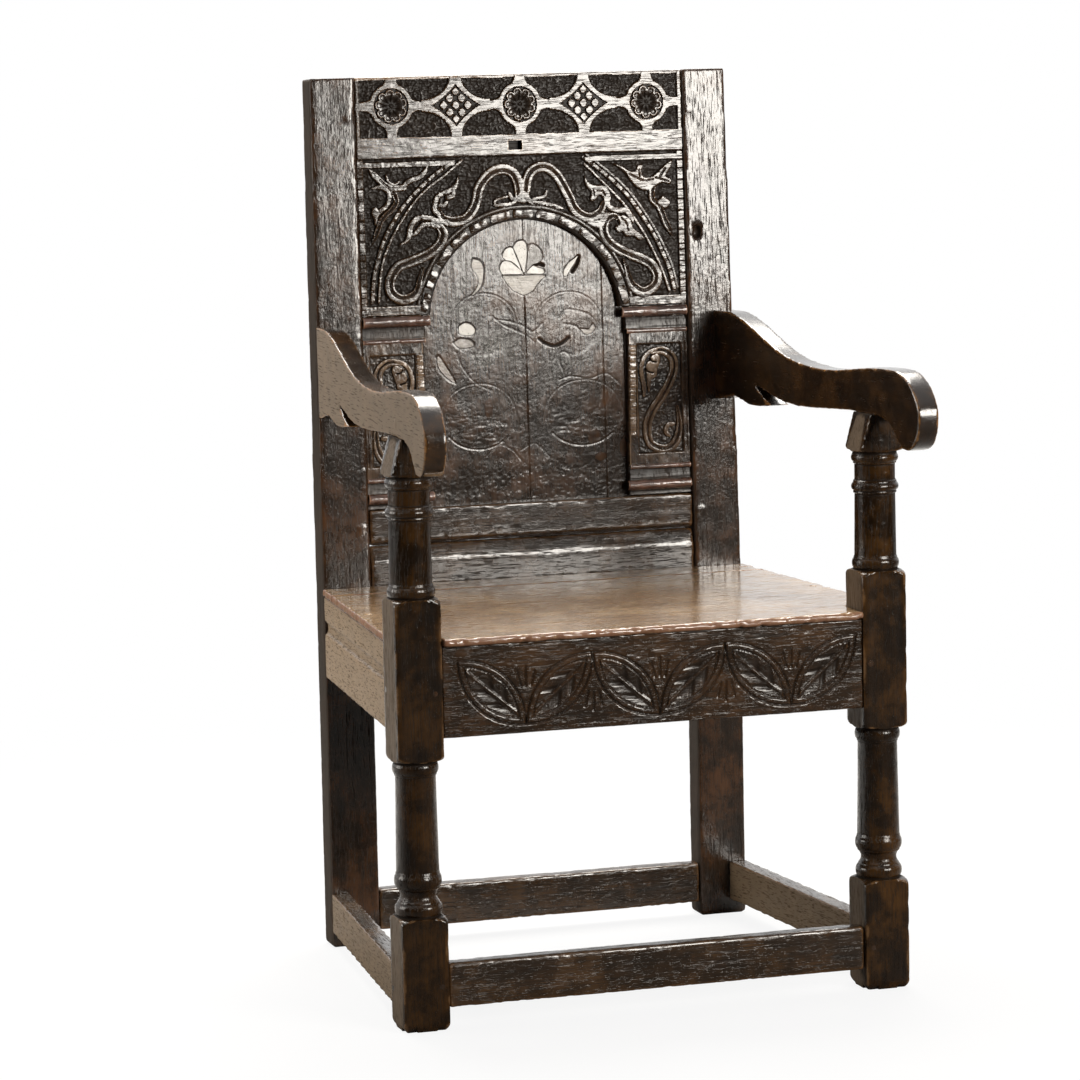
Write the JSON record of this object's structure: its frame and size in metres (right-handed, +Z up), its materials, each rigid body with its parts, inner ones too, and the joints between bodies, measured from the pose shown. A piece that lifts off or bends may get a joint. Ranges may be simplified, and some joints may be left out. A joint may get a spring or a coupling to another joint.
{
  "type": "joined armchair",
  "caption": "Joined oak wainscot armchair with a carved panelled back, scrolled arms, turned front posts, boarded seat and box stretchers.",
  "frame": {"origin": "on the floor, under the middle of the whole chair's box", "axes": "+Z up, +X towards the viewer's right, -Y the way the sitter faces"},
  "size_m": [0.6056, 0.6285, 1.048],
  "materials": {
    "frame_oak": "very dark waxed oak, semi-gloss, worn brown at the edges",
    "panel_oak": "dark waxed oak, carved, with near-black recesses",
    "seat_oak": "dark brown waxed oak, polished by use",
    "peg_oak": "dark oak end grain",
    "pale_inlay": "pale holly or box, worn and yellowed"
  },
  "bodies": {
    "root": {"arch_board": "panel_oak", "arm_left": "frame_oak", "arm_right": "frame_oak", "arm_pegs": "peg_oak", "base_moulding_left": "panel_oak", "base_moulding_right": "panel_oak", "base_necking_left": "panel_oak", "base_necking_right": "panel_oak", "capital_moulding_left": "panel_oak", "capital_moulding_right": "panel_oak", "capital_necking_left": "panel_oak", "capital_necking_right": "panel_oak", "crest_rail": "frame_oak", "frame_pegs": "peg_oak", "front_post_left": "frame_oak", "front_post_right": "frame_oak", "front_seat_rail": "frame_oak", "front_stretcher": "frame_oak", "inlay_buds": "pale_inlay", "inlay_flower": "pale_inlay", "inlay_leaf_left": "pale_inlay", "inlay_leaf_right": "pale_inlay", "mid_back_rail": "frame_oak", "panel_board_left": "panel_oak", "panel_board_centre": "panel_oak", "panel_board_right": "panel_oak", "pilaster_left": "panel_oak", "pilaster_right": "panel_oak", "rear_post_left": "frame_oak", "rear_post_right": "frame_oak", "rear_seat_rail": "frame_oak", "rear_stretcher": "frame_oak", "seat_board_front": "seat_oak", "seat_board_rear": "seat_oak", "seat_pegs": "seat_oak", "side_seat_rail_left": "frame_oak", "side_seat_rail_right": "frame_oak", "side_stretcher_left": "frame_oak", "side_stretcher_right": "frame_oak"}
  },
  "joints": []
}
